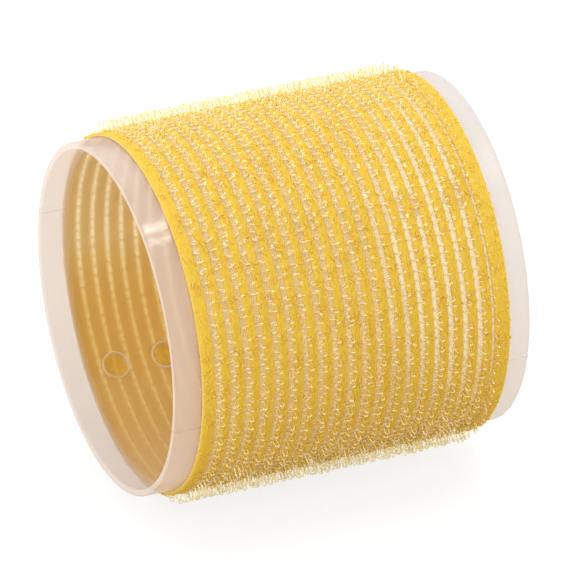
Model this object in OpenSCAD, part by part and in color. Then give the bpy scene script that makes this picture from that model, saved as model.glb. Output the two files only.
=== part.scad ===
// Self-gripping hair roller: a translucent moulded core tube wrapped in one
// strip of woven hook tape. The tube lies along X, centred on the origin.
// Angles around the tube are counted from +Y towards +Z.

/* [Core tube] */
// Length of the roller, end to end
core_length = 63; // [45:0.5:90]
// Outside diameter of the core tube
core_d = 59.2; // [40:0.1:75]
// Wall thickness of the core tube
wall_t = 1.2; // [0.8:0.05:2]
// Radius on the four rim edges
rim_r = 0.35; // [0.1:0.05:0.4]
// Height of the ridges left where the mould halves met
parting_h = 0.1; // [0.05:0.05:0.2]
// Width of those ridges
parting_w = 0.3; // [0.2:0.05:0.6]
// Angle of the parting plane
parting_turn = 11.5; // [0:0.5:90]

/* [Vent holes] */
// Diameter of a vent hole
vent_d = 4.2; // [2:0.1:6]
// Distance from one vent hole to the next along the tube
vent_pitch = 8.9; // [7.5:0.1:12]
// Number of lines of vent holes around the tube
vent_lines = 4; // [3:1:8]
// Angle of the first line of vent holes
vent_turn = 42.6; // [0:0.1:90]
// Least wall left between a vent hole and the edge of the tape
vent_margin = 2.5; // [1:0.5:5]
// Width of the raised lip around a vent hole, inside the tube
lip_w = 0.3; // [0.2:0.05:0.5]
// Height of that lip
lip_h = 0.12; // [0.05:0.01:0.2]

/* [Hook tape] */
// Bare band of core at the -X end
band_near = 4.7; // [3:0.1:8]
// Bare band of core at the +X end
band_far = 3.9; // [3:0.1:8]
// Thickness of the adhesive film under the tape
glue_t = 0.1; // [0.05:0.05:0.2]
// Thickness of the ground web
web_t = 0.25; // [0.15:0.05:0.5]
// Height of the coloured warp bands above the web
yarn_t = 0.45; // [0.3:0.05:0.8]
// Radius on the outer edges of the warp bands
yarn_r = 0.2; // [0.05:0.05:0.25]
// Width of the butt seam where the ends of the tape meet
seam_gap = 0.4; // [0.2:0.1:0.8]
// Angle near which the seam lies
seam_turn = 245; // [180:1:300]

/* [Hook rows] */
// Distance from one hook row to the next
row_pitch = 2.58; // [2.2:0.01:3.5]
// Width of a row, which is two files of hooks
row_w = 1; // [0.6:0.05:1.4]
// Width of the last row, which is a single file
lone_row_w = 0.45; // [0.3:0.05:0.6]
// Least width of the selvedges
selvedge_min = 2; // [1.5:0.1:4]
// Height of the monofilament bed that a row's hooks stand on
bed_t = 0.25; // [0.15:0.05:0.3]
// Height of the hooks above the web
hook_h = 2.25; // [1.2:0.05:3]
// Distance from one hook to the next around the tube
hook_pitch = 1.68; // [1.5:0.01:3]
// Width of a hook at its foot
hook_foot_w = 0.55; // [0.3:0.05:0.9]
// Width of a hook at its tip
hook_tip_w = 0.8; // [0.3:0.05:1.1]

/* [Fits] */
// Clearance between one layer or band and the next
lay_gap = 0.02; // [0.01:0.01:0.05]

/* [Hidden] */
$fn = 96;
core_r = core_d / 2;
bore_r = core_r - wall_t;
glue_in = core_r + lay_gap;
web_in = glue_in + glue_t + lay_gap;
web_out = web_in + web_t;
yarn_in = web_out + lay_gap;
yarn_out = yarn_in + yarn_t;
bed_out = yarn_in + bed_t;
hook_tip = web_out + hook_h;

tape_from = band_near - core_length / 2;
tape_to = core_length / 2 - band_far;
tape_w = tape_to - tape_from;

row_count = floor((tape_w - 2 * selvedge_min - row_w) / row_pitch) + 1;
selvedge_w = (tape_w - (row_count - 1) * row_pitch - row_w) / 2;
hook_count = floor(2 * PI * yarn_in / hook_pitch);
hook_step = 360 / hook_count;
seam_at = (floor(seam_turn / hook_step) + 0.5) * hook_step;

vent_count = floor((tape_w - vent_d - 2 * vent_margin) / vent_pitch) + 1;
vent_from = (tape_from + tape_to - (vent_count - 1) * vent_pitch) / 2;

overcut = 1;

// Where row i begins and ends along the tube; the last row is narrower.
function row_start(i) = tape_from + selvedge_w + (i - 1) * row_pitch;
function row_end(i) = row_start(i) + (i == row_count ? lone_row_w : row_w);

function two_digits(i) = str(i < 10 ? "0" : "", i);
function row_name(i) = str("hook_row_", two_digits(i));
function band_name(i) = str("warp_band_", two_digits(i));

// Turns a shape made along +Z so that it runs along +X, with +X becoming +Y.
module along_tube(from = 0) {
    translate([from, 0, 0])
        rotate([90, 0, 90])
            children();
}

// Cuts the butt seam through one side of a layer.
module seam_slot(from, to) {
    along_tube(from - overcut)
        rotate(seam_at)
            translate([core_r / 2, -seam_gap / 2, 0])
                cube([core_r, seam_gap, to - from + 2 * overcut]);
}

// A layer of tape wound around the tube, open at the seam.
module wrapped_layer(r_in, r_out, from, to, edge_r = 0) {
    difference() {
        along_tube(from)
            rotate_extrude()
                translate([r_in, 0])
                    band_profile(r_out - r_in, to - from, edge_r);
        seam_slot(from, to);
    }
}

// Section of a layer: flat towards the tube, with rounded outer edges.
module band_profile(height, width, edge_r) {
    if (edge_r == 0)
        square([height, width]);
    else
        union() {
            square([height - edge_r, width]);
            translate([0, edge_r])
                square([height, width - 2 * edge_r]);
            for (y = [edge_r, width - edge_r])
                translate([height - edge_r, y])
                    circle(edge_r);
        }
}

// Section of the tube wall, with all four rim edges rounded.
module wall_profile() {
    translate([bore_r, 0])
        union() {
            translate([0, rim_r])
                square([wall_t, core_length - 2 * rim_r]);
            translate([rim_r, 0])
                square([wall_t - 2 * rim_r, core_length]);
            for (x = [rim_r, wall_t - rim_r], y = [rim_r, core_length - rim_r])
                translate([x, y])
                    circle(rim_r);
        }
}

// Places a child on every vent hole, pointing outwards along +Z.
module at_vents() {
    for (line = [0:vent_lines - 1], k = [0:vent_count - 1])
        rotate([vent_turn + line * 360 / vent_lines - 90, 0, 0])
            translate([vent_from + k * vent_pitch, 0, 0])
                children();
}

// The two ridges of a bare band, one at each side of the parting plane.
module parting_ridges(from, to) {
    for (side = [0, 180])
        along_tube(from)
            rotate(parting_turn + side)
                translate([core_r - wall_t / 2, -parting_w / 2, 0])
                    cube([wall_t / 2 + parting_h, parting_w, to - from]);
}

module core_tube() {
    color([0.93, 0.88, 0.84])
        difference() {
            union() {
                along_tube(-core_length / 2)
                    rotate_extrude()
                        wall_profile();
                parting_ridges(rim_r - core_length / 2, tape_from - lay_gap);
                parting_ridges(tape_to + lay_gap, core_length / 2 - rim_r);
                at_vents()
                    translate([0, 0, bore_r - lip_h])
                        cylinder(d = vent_d + 2 * lip_w, h = wall_t / 2);
            }
            at_vents()
                translate([0, 0, bore_r - overcut])
                    cylinder(d = vent_d, h = wall_t + 2 * overcut);
        }
}

module adhesive_film() {
    color([0.96, 0.9, 0.72])
        wrapped_layer(glue_in, glue_in + glue_t, tape_from, tape_to);
}

module ground_web() {
    color([0.95, 0.88, 0.7])
        wrapped_layer(web_in, web_out, tape_from, tape_to);
}

// The coloured warp between two hook rows.
module warp_band(i) {
    color([0.95, 0.78, 0.24])
        wrapped_layer(yarn_in, yarn_out, row_end(i) + lay_gap, row_start(i + 1) - lay_gap, yarn_r);
}

module selvedge_near() {
    color([0.93, 0.74, 0.2])
        wrapped_layer(yarn_in, yarn_out, tape_from, row_start(1) - lay_gap, yarn_r);
}

module selvedge_far() {
    color([0.93, 0.74, 0.2])
        wrapped_layer(yarn_in, yarn_out, row_end(row_count) + lay_gap, tape_to, yarn_r);
}

// Outline of a hook row across the tube: a bed with one tooth for each hook.
function row_outline() = [
    for (k = [0:hook_count - 1], corner = [0:3])
        let (
            foot = corner == 0 || corner == 3,
            side = corner < 2 ? -1 : 1,
            radius = foot ? bed_out : hook_tip,
            width = foot ? hook_foot_w : hook_tip_w,
            turn = k * hook_step + side * width / 2 / radius * 180 / PI
        )
        radius * [cos(turn), sin(turn)]
];

module hook_row(i) {
    color([0.97, 0.93, 0.78])
        difference() {
            along_tube(row_start(i))
                linear_extrude(row_end(i) - row_start(i))
                    difference() {
                        polygon(row_outline());
                        circle(yarn_in, $fn = 360);
                    }
            seam_slot(row_start(i), row_end(i));
        }
}

core_tube();
adhesive_film();
ground_web();
selvedge_near();
selvedge_far();
for (i = [1:row_count - 1])
    warp_band(i);
for (i = [1:row_count])
    hook_row(i);
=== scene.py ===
"""Finishes a self-gripping hair roller: the moulded core, the bonded hook tape and its hooks."""

import math

import bmesh
import bpy
from bpy.props import FloatProperty, FloatVectorProperty, IntProperty, PointerProperty
from mathutils import Matrix, Vector


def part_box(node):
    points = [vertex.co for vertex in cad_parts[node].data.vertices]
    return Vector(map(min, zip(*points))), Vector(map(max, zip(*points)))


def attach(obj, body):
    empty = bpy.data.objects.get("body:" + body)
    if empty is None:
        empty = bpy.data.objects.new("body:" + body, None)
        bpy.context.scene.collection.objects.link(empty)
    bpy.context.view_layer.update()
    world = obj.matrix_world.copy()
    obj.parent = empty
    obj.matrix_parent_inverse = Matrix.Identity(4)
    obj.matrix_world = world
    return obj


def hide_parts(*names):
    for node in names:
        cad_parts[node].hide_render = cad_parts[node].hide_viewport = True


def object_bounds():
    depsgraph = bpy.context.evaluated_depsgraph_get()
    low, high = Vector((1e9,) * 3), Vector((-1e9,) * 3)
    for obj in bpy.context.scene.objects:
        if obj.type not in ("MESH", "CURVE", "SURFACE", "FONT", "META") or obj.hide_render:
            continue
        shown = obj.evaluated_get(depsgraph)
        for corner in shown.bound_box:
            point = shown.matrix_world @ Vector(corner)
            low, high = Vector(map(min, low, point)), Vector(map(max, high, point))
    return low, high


bl_info = {
    "name": "Hair Roller Maker",
    "version": (1, 0, 0),
    "blender": (4, 5, 0),
    "location": "View3D > Sidebar > Roller",
    "description": "Builds a self-gripping hair roller: core tube, woven hook tape and hooks",
    "category": "Add Mesh",
}

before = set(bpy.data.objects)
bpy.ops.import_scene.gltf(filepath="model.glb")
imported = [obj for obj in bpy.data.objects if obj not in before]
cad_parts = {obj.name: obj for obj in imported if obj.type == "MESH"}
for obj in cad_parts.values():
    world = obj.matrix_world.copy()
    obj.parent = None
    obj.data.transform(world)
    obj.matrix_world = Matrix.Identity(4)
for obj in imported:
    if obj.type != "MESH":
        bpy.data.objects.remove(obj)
FRAME_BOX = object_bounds()
MM = 0.001
BODY = "root"
YARN_WIDTH = 0.257 * MM
PLASTIC_IOR = 1.49
NYLON_IOR = 1.53
# what shows through a thin pale layer keeps nearly all of its colour
PALE_TINT = (1.0, 0.995, 0.97)
ROWS = sorted(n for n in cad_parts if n.startswith("hook_row_"))
BANDS = sorted(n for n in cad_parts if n.startswith("warp_band_"))
SELVEDGES = ["selvedge_near", "selvedge_far"]


def span(node):
    """Where a CAD node begins and ends along the tube, in metres."""
    low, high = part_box(node)
    return low[0], high[0]


TAPE_FROM, TAPE_TO = span("ground_web")
TUBE_FROM, TUBE_TO = span("core_tube")
FIRST_ROW = span(ROWS[0])
ROW_PITCH = span(ROWS[1])[0] - FIRST_ROW[0]


# ---------------------------------------------------------------- settings


def length(name, about, value):
    return FloatProperty(
        name=name, description=about, default=value, subtype="DISTANCE", unit="LENGTH", precision=5
    )


def angle(name, about, degrees):
    value = math.radians(degrees)
    return FloatProperty(
        name=name, description=about, default=value, subtype="ANGLE", unit="ROTATION"
    )


def share(name, about, value):
    return FloatProperty(
        name=name, description=about, default=value, min=0.0, max=1.0, subtype="FACTOR"
    )


def colour(name, about, hex_code):
    """A colour property, written as the colour looks on a screen."""
    parts = [int(hex_code[i : i + 2], 16) / 255 for i in (0, 2, 4)]
    linear = [c / 12.92 if c <= 0.04045 else ((c + 0.055) / 1.055) ** 2.4 for c in parts]
    return FloatVectorProperty(
        name=name, description=about, default=linear, size=3, min=0.0, max=1.0, subtype="COLOR"
    )


class CoreSettings(bpy.types.PropertyGroup):
    """Sizes and colour of the moulded core tube."""

    outer: length("Outer Radius", "Radius of the core tube's outside", 29.6 * MM)
    inner: length("Bore Radius", "Radius of the core tube's bore", 28.4 * MM)
    rim: length("Rim Radius", "Rounding of the four rim edges", 0.35 * MM)
    ridge: length("Parting Ridge", "Height of the ridge at the parting plane", 0.1 * MM)
    ridge_half: length("Ridge Half Width", "Half the width of that ridge", 0.15 * MM)
    parting: angle("Parting Angle", "Angle of the parting plane around the tube", 11.5)
    vent: length("Vent Radius", "Radius of a vent hole", 2.1 * MM)
    vent_pitch: length("Vent Pitch", "Distance between vent holes along the tube", 8.9 * MM)
    vent_turn: angle("Vent Angle", "Angle of the first line of vent holes", 42.6)
    vent_lines: IntProperty(
        name="Vent Lines", description="Lines of vent holes around the tube", default=4, min=1
    )
    vent_count: IntProperty(
        name="Vents per Line", description="Vent holes in each line", default=6, min=1
    )
    lip: length("Lip Height", "Height of the lip around a vent hole, in the bore", 0.14 * MM)
    plastic: colour("Plastic", "Colour of the milky plastic", "E2D7D2")
    bare_clear: share("Clearness of the Bands", "How far the bare bands show what is behind", 0.62)
    wall_clear: share("Clearness under the Tape", "How far the wall shows the tape on it", 0.95)


class TapeSettings(bpy.types.PropertyGroup):
    """Sizes and colours of the woven tape."""

    film_in: length("Film Radius", "Radius of the adhesive film's inside", 29.62 * MM)
    film_out: length("Film Outer Radius", "Radius of the adhesive film's outside", 29.72 * MM)
    web_in: length("Web Radius", "Radius of the ground web's inside", 29.74 * MM)
    web_out: length("Web Outer Radius", "Radius of the ground web's outside", 29.99 * MM)
    yarn_in: length("Yarn Radius", "Radius at the foot of the coloured bands", 30.01 * MM)
    yarn_out: length("Yarn Outer Radius", "Radius at the top of the coloured bands", 30.46 * MM)
    seam: angle("Seam Angle", "Where the two ends of the tape meet", 245)
    seam_gap: length("Seam Gap", "Gap between the two ends of the tape", 0.4 * MM)
    picks: IntProperty(
        name="Picks", description="Weft picks around the roller", default=224, min=20
    )
    gold: colour("Gold Yarn", "Lit colour of the coloured yarn", "F7E25A")
    # a painted shade, used where the yarn lies low
    gold_shade: colour("Gold Yarn Shade", "Colour deep between the yarns", "ECC33D")
    lining: colour("Web Inside", "Colour of the side of the web that lies on the core", "FFF8D4")
    web: colour("Clear Web", "Colour of the web under the hook rows", "FFF6DA")


class HookSettings(bpy.types.PropertyGroup):
    """Sizes and colour of the monofilament hooks."""

    count: IntProperty(name="Hooks", description="Hooks around one row", default=112, min=12)
    height: length("Hook Height", "Height of a hook above the web", 2.2 * MM)
    filament: length("Filament Radius", "Radius of the monofilament", 0.15 * MM)
    bed: length("Bed Height", "Height of the filament bed under the hooks", 0.25 * MM)
    crossing: length("Crossing Radius", "Radius of a pressed crossing on the bed", 0.15 * MM)
    lean: angle("Lean", "How far a hook may lean, at most", 17)
    clear: colour("Monofilament", "Colour of the clear monofilament", "FBF2D0")


# ---------------------------------------------------------------- meshes


def new_object(name, mesh):
    piece = bpy.data.objects.new(name, mesh)
    bpy.context.scene.collection.objects.link(piece)
    return piece


def finish_piece(piece, material, node=None):
    """Gives a piece its material, lets it ride on the body and hides the CAD node it stands for."""
    if material is not None:
        piece.data.materials.clear()
        piece.data.materials.append(material)
    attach(piece, BODY)
    if node:
        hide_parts(*([node] if isinstance(node, str) else node))


def ring_mesh(name, section, angles, closed=True, lift=None):
    """Carries a closed section of (x, radius) points around the X axis.
    lift(index, x, radius, angle) returns the radius to use. Open rings get end caps."""
    points = []
    for a in angles:
        c, s = math.cos(a), math.sin(a)
        for k, (x, r) in enumerate(section):
            if lift:
                r = lift(k, x, r, a)
            points.append((x, r * c, r * s))
    n, m = len(angles), len(section)
    faces = []
    for i in range(n if closed else n - 1):
        j = (i + 1) % n
        for k in range(m):
            h = (k + 1) % m
            faces.append((i * m + k, i * m + h, j * m + h, j * m + k))
    if not closed:
        faces.append(tuple(range(m)))
        faces.append(tuple((n - 1) * m + k for k in reversed(range(m))))
    mesh = bpy.data.meshes.new(name)
    mesh.from_pydata(points, [], faces)
    mesh.update()
    turn_outwards(mesh)
    return mesh


def turn_outwards(mesh):
    work = bmesh.new()
    work.from_mesh(mesh)
    bmesh.ops.recalc_face_normals(work, faces=work.faces)
    work.to_mesh(mesh)
    work.free()


def smooth(mesh, degrees=35):
    mesh.shade_smooth()
    mesh.set_sharp_from_angle(angle=math.radians(degrees))


def even_angles(count, start=0.0, sweep=2 * math.pi, closed=True):
    steps = count if closed else count - 1
    return [start + sweep * i / steps for i in range(count)]


def tape_angles(tape, count):
    """Angles from one end of the tape around to the other."""
    half = tape.seam_gap / 2 / tape.web_out
    return even_angles(count, tape.seam + half, 2 * math.pi - 2 * half, closed=False)


def cloth_map(mesh, radius):
    """A UV map in millimetres: along the tape, and across it."""
    layer = mesh.uv_layers.new(name="cloth")
    for face in mesh.polygons:
        turns = []
        for loop in face.loop_indices:
            p = mesh.vertices[mesh.loops[loop].vertex_index].co
            turns.append(math.atan2(p.z, p.y))
        base = turns[0]
        for loop, turn in zip(face.loop_indices, turns):
            while turn - base > math.pi:
                turn -= 2 * math.pi
            while turn - base < -math.pi:
                turn += 2 * math.pi
            p = mesh.vertices[mesh.loops[loop].vertex_index].co
            layer.data[loop].uv = (turn * radius / MM, p.x / MM)


def rounded_section(x0, x1, r0, r1, radius, steps=5):
    """Section of a wall with four rounded edges, as (x, radius) points."""
    corners = [
        (x1 - radius, r0 + radius, -90),
        (x1 - radius, r1 - radius, 0),
        (x0 + radius, r1 - radius, 90),
        (x0 + radius, r0 + radius, 180),
    ]
    points = []
    for cx, cr, begin in corners:
        for i in range(steps + 1):
            a = math.radians(begin + 90 * i / steps)
            points.append((cx + radius * math.cos(a), cr + radius * math.sin(a)))
    return points


# ---------------------------------------------------------------- node trees


def rgba(value):
    return (*value[:3], 1.0)


def scaled(value, k):
    return tuple(min(1.0, c * k) for c in value[:3])


def is_socket(value):
    return isinstance(value, bpy.types.NodeSocket)


class Tree:
    """A short way to build a node tree. A value is a number, a colour or another node's socket."""

    def __init__(self, tree, output=None):
        self.tree = tree
        self.out = self.add(output) if output else None

    def link(self, a, b):
        self.tree.links.new(a, b)

    def add(self, kind, inputs=None, **options):
        node = self.tree.nodes.new(kind)
        for key, value in options.items():
            setattr(node, key, value)
        for key, value in (inputs or {}).items():
            socket = node.inputs[key]
            if is_socket(value):
                self.link(value, socket)
            else:
                socket.default_value = value
        return node

    def one(self, kind, inputs=None, **options):
        """Adds a node and gives its first output."""
        return self.add(kind, inputs, **options).outputs[0]

    def surface(self, shader):
        self.link(shader, self.out.inputs["Surface"])

    # numbers and vectors

    def math(self, operation, *values):
        return self.one("ShaderNodeMath", dict(enumerate(values)), operation=operation)

    def plus(self, a, b):
        return self.math("ADD", a, b)

    def minus(self, a, b):
        return self.math("SUBTRACT", a, b)

    def times(self, a, b):
        return self.math("MULTIPLY", a, b)

    def over(self, a, b):
        return self.math("DIVIDE", a, b)

    def reach(self, a, b):
        """How far a point is from the origin, from its two coordinates."""
        return self.math("SQRT", self.plus(self.times(a, a), self.times(b, b)))

    def wave(self, value, period):
        return self.math("SINE", self.times(value, 2 * math.pi / period))

    def ramp(self, value, begin=(0.0, 1.0), end=(0.0, 1.0)):
        """Carries one range of numbers over to another."""
        names = ("From Min", "From Max", "To Min", "To Max")
        return self.one("ShaderNodeMapRange", {"Value": value, **dict(zip(names, (*begin, *end)))})

    def axes(self, vector):
        return tuple(self.add("ShaderNodeSeparateXYZ", {0: vector}).outputs)

    def point(self, x=0.0, y=0.0, z=0.0):
        return self.one("ShaderNodeCombineXYZ", {0: x, 1: y, 2: z})

    def random(self, low, high, seed):
        """A random vector for each point."""
        values = {"Min": low, "Max": high, "Seed": seed}
        return self.one("FunctionNodeRandomValue", values, data_type="FLOAT_VECTOR")

    def random_number(self, low, high, seed):
        return self.add("FunctionNodeRandomValue", {2: low, 3: high, "Seed": seed}).outputs[1]

    # patterns and shaders

    def place(self):
        return self.add("ShaderNodeTexCoord").outputs["Object"]

    def cloth(self):
        return self.one("ShaderNodeUVMap", uv_map="cloth")

    def stretched(self, place, scale):
        return self.one("ShaderNodeMapping", {"Vector": place, "Scale": scale})

    def noise(self, place, scale, detail=2.0, **more):
        values = {"Vector": place, "Scale": scale, "Detail": detail, **more}
        return self.add("ShaderNodeTexNoise", values).outputs["Fac"]

    def mix(self, factor, a, b):
        """A colour between two others."""
        a, b = (v if is_socket(v) else rgba(v) for v in (a, b))
        return self.add("ShaderNodeMix", {0: factor, 6: a, 7: b}, data_type="RGBA").outputs[2]

    def bump(self, height, strength, distance):
        values = {"Strength": strength, "Distance": distance, "Height": height}
        return self.one("ShaderNodeBump", values)

    def blend(self, factor, a, b):
        """A shader between two others."""
        return self.one("ShaderNodeMixShader", {0: factor, 1: a, 2: b})

    def body(self, tone, share, finish, light=None, **both):
        """A skin that reflects, and a share of light in its own colour that glows through."""
        skin = self.one("ShaderNodeBsdfPrincipled", {"Base Color": tone, **finish, **both})
        glow = self.one("ShaderNodeBsdfTranslucent", {"Color": light or tone, **both})
        return self.blend(share, skin, glow)

    def see_through(self, share, body, tint):
        """A body, and a share of it through which the things behind show."""
        tint = tint if is_socket(tint) else rgba(tint)
        return self.blend(share, body, self.one("ShaderNodeBsdfTransparent", {"Color": tint}))


def material_tree(name):
    material = bpy.data.materials.new(name)
    material.use_nodes = True
    material.node_tree.nodes.clear()
    return material, Tree(material.node_tree, "ShaderNodeOutputMaterial")


# ---------------------------------------------------------------- materials


def core_plastic(core):
    """Milky moulded plastic: clearer where the tape lies on it, frosted on the bare bands."""
    material, t = material_tree("milky_core_plastic")
    place = t.place()
    x, y, z = t.axes(place)
    under = t.times(
        t.ramp(x, (TAPE_FROM - 0.3 * MM, TAPE_FROM + 0.5 * MM)),
        t.ramp(x, (TAPE_TO - 0.5 * MM, TAPE_TO + 0.3 * MM), (1.0, 0.0)),
    )
    cloud = t.noise(place, 90.0, 4.0, Roughness=0.55)
    flow = t.noise(t.stretched(place, (60.0, 900.0, 900.0)), 1.0)
    grain = t.noise(place, 2600.0)
    ripple = t.noise(place, 420.0, 1.0)
    height = t.plus(t.plus(t.times(grain, 0.5), flow), t.times(ripple, 1.6))
    bump = t.bump(height, 0.2, 0.05 * MM)

    # the far band has a painted shade, greyer and darker, and is rougher, more scuffed
    far_shade_and_scuff = t.math("GREATER_THAN", x, TAPE_TO)
    tone = t.mix(cloud, scaled(core.plastic, 0.94), core.plastic)
    tone = t.mix(t.times(far_shade_and_scuff, 0.75), tone, (0.7, 0.69, 0.7))
    rough = t.plus(t.times(far_shade_and_scuff, 0.24), t.ramp(cloud, end=(0.07, 0.16)))

    # the end rims get a painted highlight, whiter and less clear, and the parting planes show as
    # thin lines on the bare bands
    half = (TUBE_TO - TUBE_FROM) / 2
    off_middle = t.math("ABSOLUTE", t.minus(x, (TUBE_FROM + TUBE_TO) / 2))
    rim = t.ramp(off_middle, (half - 0.12 * MM, half - 0.02 * MM))
    tone = t.mix(t.times(rim, 0.3), tone, (1.0, 0.98, 0.96))
    turned = t.minus(t.times(z, math.cos(core.parting)), t.times(y, math.sin(core.parting)))
    line = t.math("LESS_THAN", t.math("ABSOLUTE", turned), 0.14 * MM)
    line = t.times(line, t.minus(1.0, under))
    tone = t.mix(t.times(line, 0.35), tone, scaled(core.plastic, 0.45))

    body = t.body(tone, 0.42, {"Roughness": rough, "IOR": PLASTIC_IOR}, Normal=bump)
    clear = t.ramp(under, end=(core.bare_clear, core.wall_clear))
    edge = t.add("ShaderNodeLayerWeight", {"Blend": 0.3}).outputs["Facing"]
    # less clear at grazing angles, and at the end rims for their painted highlight
    for part, loss in ((edge, 0.45), (rim, 0.3)):
        clear = t.times(clear, t.minus(1.0, t.times(part, loss)))
    t.surface(t.see_through(clear, body, (1.0, 0.97, 0.93)))
    return material


def lip_material(core):
    """The frosted plastic of the raised lips, which shows paler than the wall."""
    material, t = material_tree("frosted_vent_lip")
    cloud = t.noise(t.place(), 1400.0, 3.0)
    tone = t.mix(cloud, scaled(core.plastic, 0.9), (1.0, 0.95, 0.86))
    body = t.body(tone, 0.4, {"Roughness": 0.35, "IOR": PLASTIC_IOR})
    t.surface(t.see_through(0.4, body, (1.0, 0.98, 0.92)))
    return material


def first_vent(core):
    """Where the first vent hole of each line is, along the tube."""
    return (TAPE_FROM + TAPE_TO - (core.vent_count - 1) * core.vent_pitch) / 2


def film_material(core):
    """A thin layer of set hot-melt adhesive, thicker where it fills the vent holes."""
    material, t = material_tree("set_hot_melt")
    place = t.place()
    x, y, z = t.axes(place)

    # how far a point is from the middle of the nearest vent hole
    run = t.over(t.minus(x, first_vent(core)), core.vent_pitch)
    run = t.math("FRACT", t.plus(run, 0.5))
    along = t.times(t.minus(run, 0.5), core.vent_pitch)
    turn = 2 * math.pi / core.vent_lines
    where = t.over(t.minus(t.math("ARCTAN2", z, y), core.vent_turn), turn)
    wheel = t.math("FRACT", t.plus(where, 20.5))
    around = t.times(t.minus(wheel, 0.5), turn * core.outer)
    hole = t.math("LESS_THAN", t.reach(along, around), core.vent * 1.02)

    blot, bead = t.noise(place, 220.0, 3.0), t.noise(place, 1300.0)
    # painted shade: the film is darker, more orange and less clear towards the bottom of the tube
    low_shade = t.ramp(z, (-14 * MM, -2 * MM), (1.0, 0.0))
    tone = t.mix(blot, (0.94, 0.78, 0.32), (0.97, 0.86, 0.45))
    tone = t.mix(low_shade, tone, (0.92, 0.7, 0.2))
    tone = t.mix(hole, tone, t.mix(bead, (0.66, 0.36, 0.03), (0.9, 0.62, 0.12)))
    finish = {"Base Color": tone, "Roughness": 0.4, "Normal": t.bump(bead, 0.6, 0.08 * MM)}
    skin = t.one("ShaderNodeBsdfPrincipled", finish)
    thin_clear, low_shade_clear, hole_clear = 0.94, 0.71, 0.35
    clear = t.math("MULTIPLY_ADD", low_shade, low_shade_clear - thin_clear, thin_clear)
    clear = t.math("MULTIPLY_ADD", hole, t.minus(hole_clear, clear), clear)
    t.surface(t.see_through(clear, skin, t.mix(low_shade, PALE_TINT, (0.97, 0.91, 0.64))))
    return material


def web_material(tape):
    """Plain-woven ground cloth: pale cream under the coloured yarn and on its inside, clear under
    the hooks.
    """
    material, t = material_tree("woven_ground_cloth")
    place = t.place()
    x, y, z = t.axes(place)
    width = (FIRST_ROW[1] - FIRST_ROW[0]) / ROW_PITCH
    step = t.math("FRACT", t.over(t.minus(x, FIRST_ROW[0]), ROW_PITCH))
    begun = t.math("GREATER_THAN", x, FIRST_ROW[0] - 0.01 * MM)
    not_ended = t.math("LESS_THAN", x, span(ROWS[-1])[1])
    row = t.times(t.math("LESS_THAN", step, width), t.times(begun, not_ended))
    u, v, _ = t.axes(t.cloth())
    weave = t.times(t.wave(u, 0.84), t.wave(v, 0.28))
    mottle = t.noise(place, 700.0, 3.0)
    lining = t.mix(mottle, scaled(tape.lining, 0.93), tape.lining)
    pale = t.mix(mottle, scaled(tape.web, 0.9), tape.web)
    outside = t.math("GREATER_THAN", t.reach(y, z), (tape.web_in + tape.web_out) / 2)
    tone = t.mix(t.times(row, outside), lining, pale)
    bump = t.bump(weave, 0.5, 0.05 * MM)
    body = t.body(tone, 0.5, {"Roughness": 0.7, "Sheen Weight": 0.2}, Normal=bump)

    # the cloth is most open along the middle of a row
    across = t.math("ABSOLUTE", t.math("SINE", t.times(t.over(step, width), math.pi)))
    clear = t.ramp(t.times(row, t.math("POWER", across, 0.6)), end=(0.24, 0.92))
    t.surface(t.see_through(clear, body, PALE_TINT))
    return material


def yarn_material(tape):
    """Brushed multifilament yarn: twisted fibres that lean left and right in turn."""
    material, t = material_tree("brushed_gold_yarn")
    cloth = t.cloth()
    u, v, _ = t.axes(cloth)
    lane = t.over(v, YARN_WIDTH / MM)
    odd = t.math("MODULO", t.math("FLOOR", t.plus(lane, 400.0)), 2.0)
    across = t.times(t.times(v, t.minus(t.times(odd, 2.0), 1.0)), 9.0)
    wobble = t.noise(cloth, 2.2, 3.0, Roughness=0.6)
    twist = t.math("SINE", t.plus(t.plus(t.times(u, 15.0), across), t.times(wobble, 9.0)))
    crown = t.math("ABSOLUTE", t.math("SINE", t.times(lane, math.pi)))
    fuzz = t.noise(t.stretched(cloth, (1.0, 2.2, 1.0)), 9.0, 5.0, Roughness=0.7, Distortion=1.2)
    lump = t.noise(cloth, 2.6, Distortion=0.6)
    high = t.plus(
        t.plus(t.times(twist, 0.08), t.times(crown, 0.25)),
        t.plus(t.times(fuzz, 0.6), t.times(lump, 0.9)),
    )
    # painted shade: darker where the surface lies low, between the yarns, mixed with random tone
    # from fuzz and lumps
    tone = t.mix(t.ramp(high, (0.5, 1.2)), tape.gold_shade, tape.gold)
    wash = t.noise(cloth, 0.35)
    tone = t.mix(t.times(wash, 0.2), tone, tape.gold)
    finish = {
        "Roughness": 0.62,
        "Sheen Weight": 0.2,
        "Sheen Roughness": 0.4,
        "Sheen Tint": (1.0, 0.9, 0.6, 1.0),
    }
    light = t.mix(0.42, tone, (1.0, 0.94, 0.62))
    t.surface(t.body(tone, 0.52, finish, light, Normal=t.bump(high, 0.5, 0.12 * MM)))
    return material


def bed_material(tape):
    """The clear filament bed that the hooks stand on, seen over the pale web."""
    material, t = material_tree("clear_filament_bed")
    tone = t.mix(t.noise(t.place(), 1100.0, 3.0), scaled(tape.web, 0.86), tape.web)
    _, v, _ = t.axes(t.cloth())
    bump = t.bump(t.wave(v, 0.2), 0.4, 0.03 * MM)
    body = t.body(tone, 0.35, {"Roughness": 0.3, "IOR": NYLON_IOR, "Normal": bump})
    t.surface(t.see_through(0.8, body, (1.0, 0.98, 0.92)))
    return material


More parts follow.
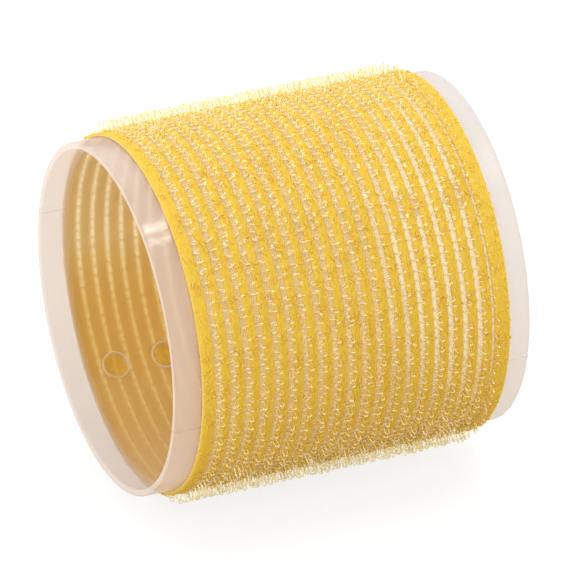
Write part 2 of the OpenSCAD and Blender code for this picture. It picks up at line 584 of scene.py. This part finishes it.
def monofilament(hook):
    """Clear drawn monofilament, a little warm."""
    material, t = material_tree("clear_monofilament")
    tone = t.mix(t.noise(t.place(), 1500.0), scaled(hook.clear, 0.93), hook.clear)
    finish = {"Roughness": 0.3, "IOR": NYLON_IOR, "Specular IOR Level": 0.8}
    glint = t.one("ShaderNodeBsdfGlossy", {"Color": (1.0, 0.98, 0.93, 1.0), "Roughness": 0.27})
    body = t.blend(0.65, t.body(tone, 0.5, finish), glint)
    t.surface(t.see_through(0.7, body, (1.0, 0.96, 0.78)))
    return material


def crossing_glint_material(hook):
    """Pressed crossings of the monofilament, painted whiter and less clear than the hooks as a
    painted glint.
    """
    material, t = material_tree("monofilament_crossing_painted_glint")
    vary = t.noise(t.place(), 700.0)
    tone = t.mix(vary, hook.clear, (1.0, 0.98, 0.92))
    body = t.body(tone, 0.5, {"Roughness": 0.28, "IOR": NYLON_IOR, "Specular IOR Level": 0.9})
    t.surface(t.see_through(t.ramp(vary, end=(0.1, 0.5)), body, (1.0, 0.98, 0.9)))
    return material


def fibre_material():
    """Loose fibres that stand off the brushed yarn."""
    material, t = material_tree("loose_gold_fibre")
    tone = t.mix(t.noise(t.place(), 900.0), (1.0, 0.79, 0.2), (1.0, 0.86, 0.28))
    t.surface(t.body(tone, 0.65, {"Roughness": 0.45}))
    return material


# ---------------------------------------------------------------- geometry nodes


def node_group(name, inputs):
    """A geometry node group with one geometry output and named inputs. An input is given as its
    default number, or as its kind of socket."""
    kinds = {float: "NodeSocketFloat", int: "NodeSocketInt"}
    group = bpy.data.node_groups.new(name, "GeometryNodeTree")
    group.interface.new_socket("Geometry", in_out="OUTPUT", socket_type="NodeSocketGeometry")
    for label, value in inputs.items():
        kind = kinds.get(type(value), value)
        socket = group.interface.new_socket(label, in_out="INPUT", socket_type=kind)
        if kind != value:
            socket.default_value = value
    tree = Tree(group)
    return group, tree, tree.add("NodeGroupInput").outputs, tree.add("NodeGroupOutput")


def moved(t, geometry, position):
    return t.one("GeometryNodeSetPosition", {"Geometry": geometry, "Position": position})


def wrap_around(t, geometry, radius):
    """Bends flat geometry around the X axis: X stays, Y runs around and Z points outwards."""
    x, y, z = t.axes(t.one("GeometryNodeInputPosition"))
    turn = t.over(y, radius)
    reach = t.plus(z, radius)
    bent = t.point(x, t.times(reach, t.math("COSINE", turn)), t.times(reach, t.math("SINE", turn)))
    return moved(t, geometry, bent)


def straight_curve(t, points):
    """A curve with so many points, and how far along it each point lies."""
    line = t.one("GeometryNodeCurvePrimitiveLine", {"End": (1.0, 0.0, 0.0)})
    line = t.one("GeometryNodeResampleCurve", {"Curve": line, "Count": points})
    return line, t.add("GeometryNodeSplineParameter").outputs["Factor"]


def circle(t, sides, radius):
    return t.one("GeometryNodeCurvePrimitiveCircle", {"Resolution": sides, "Radius": radius})


def tube(t, curve, sides, radius, caps=True):
    """A solid thread along a curve."""
    values = {"Curve": curve, "Profile Curve": circle(t, sides, radius), "Fill Caps": caps}
    return t.one("GeometryNodeCurveToMesh", values)


def placed(t, points, instance, **more):
    """Real copies of a shape on points."""
    copies = t.one("GeometryNodeInstanceOnPoints", {"Points": points, "Instance": instance, **more})
    return t.one("GeometryNodeRealizeInstances", {0: copies})


def turned_by(t, angles):
    return t.one("FunctionNodeEulerToRotation", {0: angles})


def coated(t, geometry, material):
    """Smooth faces, with their material."""
    soft = t.one("GeometryNodeSetShadeSmooth", {0: geometry})
    return t.one("GeometryNodeSetMaterial", {"Geometry": soft, "Material": material})


def joined(t, *parts):
    both = t.add("GeometryNodeJoinGeometry")
    for part in parts:
        t.link(part, both.inputs[0])
    return both.outputs[0]


def filament_path(t, begin, end, points, half_width, height):
    """An arch over the row, from one part of its sweep to another, as a curve."""
    line, part = straight_curve(t, points)
    sweep = t.math("MULTIPLY_ADD", part, (end - begin) * math.pi, begin * math.pi)
    sine = t.math("MAXIMUM", t.math("SINE", sweep), 0.0)
    cosine = t.math("COSINE", sweep)
    side = t.times(t.math("POWER", t.math("ABSOLUTE", cosine), 0.7), t.math("SIGN", cosine))
    x = t.times(side, t.times(half_width, -1.0))
    swell = t.math("MULTIPLY_ADD", sine, 0.15, 1.0)
    rise = t.times(t.math("POWER", sine, 0.5), height)
    return moved(t, line, t.point(t.times(x, swell), 0.0, rise))


def hook_row_group():
    """One row of hooks: cut monofilament arches and their stubs, on the row's bed."""
    group, t, g, out = node_group(
        "Hook Row",
        {
            "Bed": "NodeSocketGeometry",
            "Row Centre": 0.0,
            "Foot Radius": 0.03,
            "Hooks": 112,
            "Hook Height": 0.0022,
            "Half Width": 0.0004,
            "Filament Radius": 0.0001,
            "Bed Height": 0.00025,
            "Crossing Radius": 0.00015,
            "Lean": 0.25,
            "Seam Angle": 4.3,
            "Turned Over": 0,
            "Seed": 1,
            "Material": "NodeSocketMaterial",
            "Crossing Material": "NodeSocketMaterial",
        },
    )
    foot, seed, lean, bed = (g[k] for k in ("Foot Radius", "Seed", "Lean", "Bed Height"))
    half, thread = g["Half Width"], g["Filament Radius"]

    # one point for each hook, on the flattened row
    index = t.one("GeometryNodeInputIndex")
    step = t.over(t.times(foot, 2 * math.pi), g["Hooks"])
    shift_x, shift_y, _ = t.axes(t.random((-0.05, -0.09, 0.0), (0.05, 0.09, 0.0), seed))
    count = t.plus(t.plus(index, 0.5), shift_y)
    along = t.plus(t.times(g["Seam Angle"], foot), t.times(count, step))
    place = t.point(t.plus(g["Row Centre"], t.times(shift_x, MM)), along)
    points = t.one("GeometryNodePoints", {"Count": g["Hooks"], "Position": place})

    # a hook is a long arch and the stub that the cut left opposite its tip, each given as the
    # two ends of its sweep and its points
    sweeps = ((0.0, 0.87, 8), (1.0, 0.93, 3))
    arches = [filament_path(t, *sweep, half, g["Hook Height"]) for sweep in sweeps]
    hook = joined(t, *(tube(t, arch, 5, thread) for arch in arches))
    tilt = t.random((-1.0, -0.6, -1.0), (1.0, 0.6, 1.0), t.plus(seed, 40))
    tilt_x, tilt_y, tilt_z = t.axes(tilt)
    clump = t.times(t.minus(t.noise(place, 260.0, 1.0), 0.5), 3.0)
    flip = t.math("MODULO", t.plus(index, g["Turned Over"]), 2.0)
    turn = t.point(
        t.times(t.plus(t.times(tilt_x, 0.6), clump), lean),
        t.times(tilt_y, lean),
        t.plus(t.times(flip, math.pi), t.times(tilt_z, lean)),
    )
    size = t.point(1.0, 1.0, t.random_number(0.86, 1.03, t.plus(seed, 80)))
    hooks = placed(t, points, hook, Rotation=turned_by(t, turn), Scale=size)
    hooks = coated(t, wrap_around(t, hooks, foot), g["Material"])

    # a pressed bar of filament crosses the bed at each hook
    end = t.plus(half, thread)
    ends = {"Start": t.point(t.times(end, -1.0), 0.0, bed), "End": t.point(end, 0.0, bed)}
    bar = tube(t, t.one("GeometryNodeCurvePrimitiveLine", ends), 6, g["Crossing Radius"])
    askew = t.random((0.0, 0.0, -0.35), (0.0, 0.0, 0.35), t.plus(seed, 120))
    wide = t.random((0.6, 0.7, 0.8), (1.05, 1.3, 1.1), t.plus(seed, 160))
    bars = placed(t, points, bar, Rotation=turned_by(t, askew), Scale=wide)
    # their material is whiter than the hooks: a painted glint
    bars = coated(t, wrap_around(t, bars, foot), g["Crossing Material"])
    t.link(joined(t, hooks, bars, g["Bed"]), out.inputs[0])
    return group


def fibre_group():
    """Loose fibres: small arches scattered over the outside of a coloured band."""
    group, t, g, out = node_group(
        "Loose Fibres",
        {
            "Band": "NodeSocketGeometry",
            "Density": 1.0e6,
            "Fibre Length": 0.0007,
            "Fibre Rise": 0.00026,
            "Fibre Radius": 0.00011,
            "Foot Radius": 0.0302,
            "Seed": 1,
            "Material": "NodeSocketMaterial",
        },
    )
    _, y, z = t.axes(t.one("GeometryNodeInputPosition"))
    scatter = t.add(
        "GeometryNodeDistributePointsOnFaces",
        {
            "Mesh": g["Band"],
            "Selection": t.math("GREATER_THAN", t.reach(y, z), g["Foot Radius"]),
            "Density": g["Density"],
            "Seed": g["Seed"],
        },
    )
    line, part = straight_curve(t, 4)
    arch = t.math("SINE", t.times(part, math.pi))
    bow = t.math("SINE", t.times(part, 4.2))
    place = t.point(
        t.times(t.minus(part, 0.5), g["Fibre Length"]),
        t.times(bow, t.times(g["Fibre Length"], 0.16)),
        t.times(t.minus(arch, 0.12), g["Fibre Rise"]),
    )
    fibre = tube(t, moved(t, line, place), 3, g["Fibre Radius"])
    turn = t.random((-0.25, -0.3, -math.pi), (0.25, 0.3, math.pi), g["Seed"])
    turned = t.one(
        "FunctionNodeRotateRotation",
        {"Rotation": scatter.outputs["Rotation"], "Rotate By": turned_by(t, turn)},
        rotation_space="LOCAL",
    )
    size = t.random_number(0.5, 1.3, t.plus(g["Seed"], 9))
    fibres = placed(t, scatter.outputs["Points"], fibre, Rotation=turned, Scale=size)
    t.link(joined(t, coated(t, fibres, g["Material"]), g["Band"]), out.inputs[0])
    return group


def vent_lip_group():
    """The raised lips around the vent holes, on the wall of the bore."""
    group, t, g, out = node_group(
        "Vent Lips",
        {
            "Bore Radius": 0.0284,
            "First Vent": 0.0,
            "Vent Pitch": 0.0089,
            "Vents": 6,
            "Lines": 4,
            "First Angle": 0.7,
            "Vent Radius": 0.0021,
            "Lip Height": 0.00012,
            "Material": "NodeSocketMaterial",
        },
    )
    index = t.one("GeometryNodeInputIndex")
    line = t.math("FLOOR", t.over(t.plus(index, 0.5), g["Vents"]))
    step = t.minus(index, t.times(line, g["Vents"]))
    turn = t.math("MULTIPLY_ADD", line, t.over(2 * math.pi, g["Lines"]), g["First Angle"])
    along = t.math("MULTIPLY_ADD", step, g["Vent Pitch"], g["First Vent"])
    place = t.point(along, t.times(turn, g["Bore Radius"]))
    count = t.times(g["Vents"], g["Lines"])
    points = t.one("GeometryNodePoints", {"Count": count, "Position": place})
    ring = circle(t, 40, t.plus(g["Vent Radius"], g["Lip Height"]))
    lips = placed(t, points, tube(t, ring, 8, g["Lip Height"], caps=False))
    bent = wrap_around(t, lips, g["Bore Radius"])
    t.link(coated(t, bent, g["Material"]), out.inputs[0])
    return group


def grow(name, group, values, base=None):
    """Runs a node group on a mesh, or on an empty one, and keeps the result as a plain mesh."""
    seed = new_object(name, base or bpy.data.meshes.new(name))
    made = seed.modifiers.new(group.name, "NODES")
    made.node_group = group
    for item in group.interface.items_tree:
        if item.item_type == "SOCKET" and item.in_out == "INPUT" and item.name in values:
            made[item.identifier] = values[item.name]
    graph = bpy.context.evaluated_depsgraph_get()
    mesh = bpy.data.meshes.new_from_object(seed.evaluated_get(graph))
    mesh.name = name
    seed.modifiers.remove(made)
    seed.data = mesh
    drop_empty_slots(mesh)
    return seed


def drop_empty_slots(mesh):
    """Removes the empty material slots that joined geometry leaves behind."""
    kept = [m for m in mesh.materials if m]
    new = [kept.index(m) if m else 0 for m in mesh.materials]
    used = [new[face.material_index] for face in mesh.polygons]
    mesh.materials.clear()
    for material in kept:
        mesh.materials.append(material)
    mesh.polygons.foreach_set("material_index", used)


# ---------------------------------------------------------------- operators


class ROLLER_OT_core(bpy.types.Operator):
    """Makes the core tube, with its vent holes and parting ridges"""

    bl_idname = "roller.core"
    bl_label = "Core Tube"

    def execute(self, context):
        core = context.scene.roller_core
        section = rounded_section(TUBE_FROM, TUBE_TO, core.inner, core.outer, core.rim)
        # the outer wall gets an edge on each side of the tape's ends, where the ridges stop
        beside, wall = 0.12 * MM, len(section) // 2
        edges = (TAPE_TO + beside, TAPE_TO - beside, TAPE_FROM + beside, TAPE_FROM - beside)
        section[wall:wall] = [(x, core.outer) for x in edges]
        angles = set(even_angles(360))
        half = core.ridge_half / core.outer
        for side in (0, math.pi):
            for k in (-1.6, -1.0, -0.5, 0.0, 0.5, 1.0):
                angles.add((core.parting + side + half * k) % (2 * math.pi))
        angles = sorted(angles)

        def ridge(_, x, r, a):
            if TAPE_FROM - 0.1 * MM < x < TAPE_TO + 0.1 * MM or r < core.outer - core.rim:
                return r
            for side in (0, math.pi):
                off = abs((a - core.parting - side + math.pi) % (2 * math.pi) - math.pi)
                if off * core.outer <= core.ridge_half * 1.01:
                    return r + core.ridge * (1 - 0.4 * off * core.outer / core.ridge_half)
            return r

        mesh = ring_mesh("core_shell", section, angles, lift=ridge)
        shell = new_object("core_shell", mesh)
        self.cut_vents(context, shell, core)
        self.set_normals(shell.data, core)
        finish_piece(shell, core_plastic(core), "core_tube")
        lips = grow(
            "vent_lips",
            vent_lip_group(),
            {
                "Bore Radius": core.inner,
                "First Vent": first_vent(core),
                "Vent Pitch": core.vent_pitch,
                "Vents": core.vent_count,
                "Lines": core.vent_lines,
                "First Angle": core.vent_turn,
                "Vent Radius": core.vent,
                "Lip Height": core.lip,
                "Material": lip_material(core),
            },
        )
        finish_piece(lips, None, None)
        return {"FINISHED"}

    def cut_vents(self, context, shell, core):
        """Cuts all the vent holes with one set of drills."""
        work = bmesh.new()
        for line in range(core.vent_lines):
            turn = core.vent_turn + line * 2 * math.pi / core.vent_lines
            for k in range(core.vent_count):
                at = Matrix.Translation((first_vent(core) + k * core.vent_pitch, 0, 0))
                spin = Matrix.Rotation(turn - math.pi / 2, 4, "X")
                out = Matrix.Translation((0, 0, (core.inner + core.outer) / 2))
                bmesh.ops.create_cone(
                    work,
                    cap_ends=True,
                    segments=40,
                    radius1=core.vent,
                    radius2=core.vent,
                    depth=4 * MM,
                    matrix=spin @ at @ out,
                )
        drill_mesh = bpy.data.meshes.new("drills")
        work.to_mesh(drill_mesh)
        work.free()
        drills = new_object("drills", drill_mesh)
        cut = shell.modifiers.new("vents", "BOOLEAN")
        cut.operation = "DIFFERENCE"
        cut.solver = "EXACT"
        cut.object = drills
        graph = context.evaluated_depsgraph_get()
        mesh = bpy.data.meshes.new_from_object(shell.evaluated_get(graph))
        shell.modifiers.remove(cut)
        shell.data = mesh
        mesh.name = "core_shell"
        bpy.data.objects.remove(drills)

    def set_normals(self, mesh, core):
        """Keeps the round walls shaded round where the vent holes cut them."""
        smooth(mesh, 32)
        normals = [Vector(n.vector) for n in mesh.corner_normals]
        for face in mesh.polygons:
            for loop in face.loop_indices:
                p = mesh.vertices[mesh.loops[loop].vertex_index].co
                out = Vector((0, p.y, p.z)).normalized()
                r = math.hypot(p.y, p.z)
                flat = TUBE_FROM + core.rim < p.x < TUBE_TO - core.rim
                if flat and abs(r - core.outer) < 0.02 * MM and face.normal.dot(out) > 0.98:
                    normals[loop] = out
                elif flat and abs(r - core.inner) < 0.02 * MM and face.normal.dot(out) < -0.98:
                    normals[loop] = -out
        mesh.normals_split_custom_set(normals)


class ROLLER_OT_film(bpy.types.Operator):
    """Makes the adhesive film between the core and the tape"""

    bl_idname = "roller.film"
    bl_label = "Adhesive Film"

    def execute(self, context):
        tape = context.scene.roller_tape
        section = [
            (TAPE_FROM, tape.film_in),
            (TAPE_TO, tape.film_in),
            (TAPE_TO, tape.film_out),
            (TAPE_FROM, tape.film_out),
        ]
        mesh = ring_mesh("hot_melt_film", section, tape_angles(tape, 361), closed=False)
        smooth(mesh)
        piece = new_object("hot_melt_film", mesh)
        finish_piece(piece, film_material(context.scene.roller_core), "adhesive_film")
        return {"FINISHED"}


class ROLLER_OT_web(bpy.types.Operator):
    """Makes the ground web of the tape"""

    bl_idname = "roller.web"
    bl_label = "Ground Web"

    def execute(self, context):
        tape = context.scene.roller_tape
        section = rounded_section(TAPE_FROM, TAPE_TO, tape.web_in, tape.web_out, 0.06 * MM, 2)
        mesh = ring_mesh("tape_web", section, tape_angles(tape, 449), closed=False)
        smooth(mesh)
        cloth_map(mesh, tape.web_out)
        piece = new_object("tape_web", mesh)
        finish_piece(piece, web_material(tape), "ground_web")
        return {"FINISHED"}


class ROLLER_OT_bands(bpy.types.Operator):
    """Makes the raised bands of coloured warp and the two selvedges"""

    bl_idname = "roller.bands"
    bl_label = "Warp Bands"

    def execute(self, context):
        tape = context.scene.roller_tape
        yarn, fibre, group = yarn_material(tape), fibre_material(), fibre_group()
        for i, node in enumerate(BANDS + SELVEDGES):
            mesh = self.band_mesh(tape, node)
            mesh.materials.append(yarn)
            values = {"Foot Radius": tape.yarn_in + 0.2 * MM, "Seed": 5 + i, "Material": fibre}
            piece = grow(node + "_yarn", group, values, mesh)
            finish_piece(piece, None, node)
        return {"FINISHED"}

    def band_mesh(self, tape, node):
        """A band with rounded edges, ribbed by its yarns and dented by its picks."""
        x0, x1 = span(node)
        width = x1 - x0
        face_width, edge_round = 0.16 * MM, 0.28 * MM
        steps = max(8, round(width / face_width))
        top = tape.yarn_out - tape.yarn_in
        section = [(x1, tape.yarn_in), (x1, tape.yarn_in + top * 0.5)]
        for i in range(1, steps):
            u = 1 - i / steps
            edge = min(u, 1 - u) * width / edge_round
            crown = math.sqrt(max(0.0, 1 - max(0.0, 1 - edge) ** 2))
            section.append((x0 + width * u, tape.yarn_in + top * (0.5 + 0.5 * crown)))
        section += [(x0, tape.yarn_in + top * 0.5), (x0, tape.yarn_in)]
        lanes = 2 * math.pi / (width / max(1, round(width / YARN_WIDTH)))
        pick_dent, rib_dent, lump_dent = 0.06 * MM, 0.03 * MM, 0.035 * MM

        def weave(k, x, r, a):
            if r <= tape.yarn_in + top * 0.4:
                return r
            odd = round((x - x0) / YARN_WIDTH) % 2
            pick = math.sin(a * tape.picks / 2 + math.pi * odd)
            rib = math.cos((x - x0) * lanes)
            lump = math.sin(a * 171.3 + 5.1 * k)
            lump += math.sin(a * 263.7 - 3.3 * k + (x0 % 0.01) * 9000)
            drop = pick_dent * (1 - pick) + rib_dent * (1 + rib) + lump_dent * (2 + lump)
            return r - drop * (r - tape.yarn_in) / top

        mesh = ring_mesh(node + "_yarn", section, tape_angles(tape, 449), False, weave)
        smooth(mesh, 60)
        cloth_map(mesh, tape.yarn_out)
        return mesh


class ROLLER_OT_hooks(bpy.types.Operator):
    """Grows the rows of monofilament hooks"""

    bl_idname = "roller.hooks"
    bl_label = "Hook Rows"

    def execute(self, context):
        tape, hook = context.scene.roller_tape, context.scene.roller_hook
        group = hook_row_group()
        # the crossings get a material with a painted glint
        material, ground, crossing = monofilament(hook), bed_material(tape), crossing_glint_material(hook)
        for i, node in enumerate(ROWS):
            x0, x1 = span(node)
            half = (x1 - x0) / 2 - hook.filament
            bed = self.bed_mesh(tape, hook, node, x0, x1)
            bed.materials.append(ground)
            piece = grow(
                node + "_hooks",
                group,
                {
                    "Row Centre": (x0 + x1) / 2,
                    "Foot Radius": tape.yarn_in,
                    "Hooks": hook.count,
                    "Hook Height": hook.height,
                    "Half Width": half,
                    "Filament Radius": hook.filament,
                    "Bed Height": hook.bed,
                    "Crossing Radius": hook.crossing,
                    "Lean": hook.lean,
                    "Seam Angle": tape.seam,
                    "Turned Over": i % 2,
                    "Seed": 11 + 7 * i,
                    "Material": material,
                    "Crossing Material": crossing,
                },
                bed,
            )
            if len(piece.data.polygons) < 20 * hook.count:
                raise RuntimeError(f"{node}: no hooks were grown")
            finish_piece(piece, None, node)
        return {"FINISHED"}

    def bed_mesh(self, tape, hook, node, x0, x1):
        """The flat bed of clear filament, crossed by its picks."""
        top = tape.yarn_in + hook.bed
        edge = 0.12 * MM
        section = [(x0, tape.yarn_in), (x1, tape.yarn_in), (x1, top - edge)]
        section += [(x1 - edge, top), ((x0 + x1) / 2, top), (x0 + edge, top), (x0, top - edge)]

        def picks(k, x, r, a):
            if r < tape.yarn_in + 0.1 * MM:
                return r
            rib = 0.5 + 0.5 * math.cos((a - tape.seam) * tape.picks)
            return r - 0.09 * MM * (1 - rib)

        angles = tape_angles(tape, 4 * tape.picks + 1)
        mesh = ring_mesh(node + "_bed", section, angles, False, picks)
        smooth(mesh, 60)
        cloth_map(mesh, tape.yarn_out)
        return mesh


# ---------------------------------------------------------------- stage

WHITE = (1.0, 1.0, 1.0, 1.0)
# name, place in metres, side of the square in metres, power in watts
LAMPS = (
    ("window_upper", (0.345, -0.1, 0.93), 0.11, 1.7),
    ("window_lower", (0.345, -0.25, 0.9), 0.08, 1.3),
    ("near_fill", (-0.72, -0.25, 0.3), 0.5, 3.2),
    ("side_softbox", (0.5, -0.5, 0.4), 0.4, 1.6),
    ("back_softbox", (-0.15, 0.8, 0.6), 1.1, 7.8),
)


def seen_plainly(t):
    """1 where the camera, a reflection or clear stuff looks straight at a surface, otherwise 0."""
    path = t.add("ShaderNodeLightPath").outputs
    seen = t.math("MAXIMUM", path["Is Camera Ray"], path["Is Glossy Ray"])
    return t.math("MAXIMUM", seen, path["Is Transmission Ray"])


class ROLLER_OT_stage(bpy.types.Operator):
    """Sets the floor, the soft studio light and the camera"""

    bl_idname = "roller.stage"
    bl_label = "Stage"

    def execute(self, context):
        scene = context.scene
        scene.view_settings.view_transform = "Standard"
        scene.cycles.transparent_max_bounces = 24
        self.make_floor()
        self.make_world(scene)
        for lamp in LAMPS:
            self.make_lamp(*lamp)
        self.make_camera(scene)
        return {"FINISHED"}

    def make_floor(self):
        low, far = FRAME_BOX[0][2], 3
        corners = [(-far, -far, low), (far, -far, low), (far, far, low), (-far, far, low)]
        mesh = bpy.data.meshes.new("floor")
        mesh.from_pydata(corners, [], [(0, 1, 2, 3)])
        floor = new_object("floor", mesh)
        material, t = material_tree("pale_floor")
        seen = seen_plainly(t)
        tone = t.mix(seen, (0.7, 0.6, 0.46), (0.9, 0.9, 0.9))
        matte = t.one("ShaderNodeBsdfDiffuse", {"Color": tone})
        white = t.one("ShaderNodeEmission", {"Color": WHITE, "Strength": 1.0})
        t.surface(t.blend(t.times(seen, 0.82), matte, white))
        mesh.materials.append(material)

    def make_world(self, scene):
        world = bpy.data.worlds.new("studio")
        scene.world = world
        world.use_nodes = True
        world.node_tree.nodes.clear()
        t = Tree(world.node_tree, "ShaderNodeOutputWorld")
        room = t.one("ShaderNodeBackground", {"Color": WHITE, "Strength": 0.88})
        white = t.one("ShaderNodeBackground", {"Color": WHITE, "Strength": 1.0})
        t.surface(t.blend(seen_plainly(t), room, white))

    def make_lamp(self, name, place, size, power):
        lamp = bpy.data.lights.new(name, "AREA")
        lamp.shape = "SQUARE"
        lamp.size = size
        lamp.energy = power
        piece = bpy.data.objects.new(name, lamp)
        bpy.context.scene.collection.objects.link(piece)
        piece.location = place
        piece.rotation_euler = Vector(place).to_track_quat("Z", "Y").to_euler()

    def make_camera(self, scene):
        """A long lens, level, looking down into the near end of the roller."""
        turn, rise = math.radians(-23.377), math.radians(29.533)
        level = math.cos(rise)
        back = Vector((math.sin(turn) * level, -math.cos(turn) * level, math.sin(rise)))
        right = (-back).cross(Vector((0, 0, 1))).normalized()
        up = right.cross(-back)
        away, aside, below = 50.156, 0.018, 0.0152
        place = (back * away + right * aside - up * below) * scene.roller_core.outer
        frame_width, focal_width = 570.0, 9000.0
        lens = bpy.data.cameras.new("camera")
        lens.sensor_width = 36.0
        lens.lens = lens.sensor_width * focal_width / frame_width
        lens.clip_start = 0.01
        lens.clip_end = 20.0
        camera = bpy.data.objects.new("camera", lens)
        scene.collection.objects.link(camera)
        turned = Matrix((right, up, back)).transposed().to_4x4()
        camera.matrix_world = Matrix.Translation(place) @ turned
        scene.camera = camera


class ROLLER_PT_panel(bpy.types.Panel):
    """Lists the roller's pieces and their settings"""

    bl_idname = "ROLLER_PT_panel"
    bl_label = "Hair Roller"
    bl_space_type = "VIEW_3D"
    bl_region_type = "UI"
    bl_category = "Roller"

    def draw(self, context):
        for operator in OPERATORS:
            self.layout.operator(operator.bl_idname)
        for settings in (
            context.scene.roller_core,
            context.scene.roller_tape,
            context.scene.roller_hook,
        ):
            box = self.layout.box()
            for name in settings.__annotations__:
                box.prop(settings, name)


SETTINGS = {"roller_core": CoreSettings, "roller_tape": TapeSettings, "roller_hook": HookSettings}
OPERATORS = (
    ROLLER_OT_core,
    ROLLER_OT_film,
    ROLLER_OT_web,
    ROLLER_OT_bands,
    ROLLER_OT_hooks,
    ROLLER_OT_stage,
)


def register():
    for name, settings in SETTINGS.items():
        bpy.utils.register_class(settings)
        setattr(bpy.types.Scene, name, PointerProperty(type=settings))
    for item in OPERATORS + (ROLLER_PT_panel,):
        bpy.utils.register_class(item)


def unregister():
    for item in reversed(OPERATORS + (ROLLER_PT_panel,)):
        bpy.utils.unregister_class(item)
    for name, settings in SETTINGS.items():
        delattr(bpy.types.Scene, name)
        bpy.utils.unregister_class(settings)


def main():
    register()
    bpy.ops.roller.core()
    bpy.ops.roller.film()
    bpy.ops.roller.web()
    bpy.ops.roller.bands()
    bpy.ops.roller.hooks()
    bpy.ops.roller.stage()


if __name__ == "__main__":
    main()
